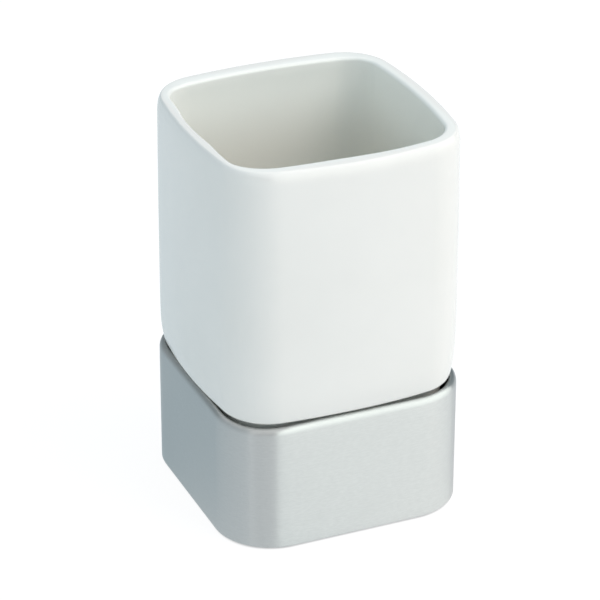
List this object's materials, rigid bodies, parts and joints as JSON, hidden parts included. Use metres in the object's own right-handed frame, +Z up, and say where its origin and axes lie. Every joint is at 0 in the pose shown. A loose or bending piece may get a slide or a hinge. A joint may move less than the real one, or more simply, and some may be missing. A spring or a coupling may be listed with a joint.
{
  "type": "bathroom tumbler",
  "caption": "Square white ceramic cup with bowed sides that stands loose in a brushed steel base with a black liner.",
  "frame": {"origin": "centre of the underside, on the surface that the tumbler stands on", "axes": "+Z up along the cup; +X and +Y square to its sides"},
  "size_m": [0.0706, 0.0706, 0.1105],
  "materials": {
    "glaze": "white gloss glaze",
    "steel": "fine brushed lines running round the base",
    "liner": "black, fine moulded texture",
    "tape": "white foam tape",
    "bumper": "milky soft silicone",
    "pad": "dark foam rubber"
  },
  "bodies": {
    "base": {"steel_base": "steel", "base_liner": "liner", "liner_tape": "tape", "cup_bumpers": "bumper", "foot_pad": "pad"},
    "cup": {"ceramic_cup": "glaze"}
  },
  "joints": [
    {"name": "cup_lift", "type": "slide", "parent": "base", "child": "cup", "axis": [0, 0, 1], "range_m": [0, 0.04]}
  ]
}
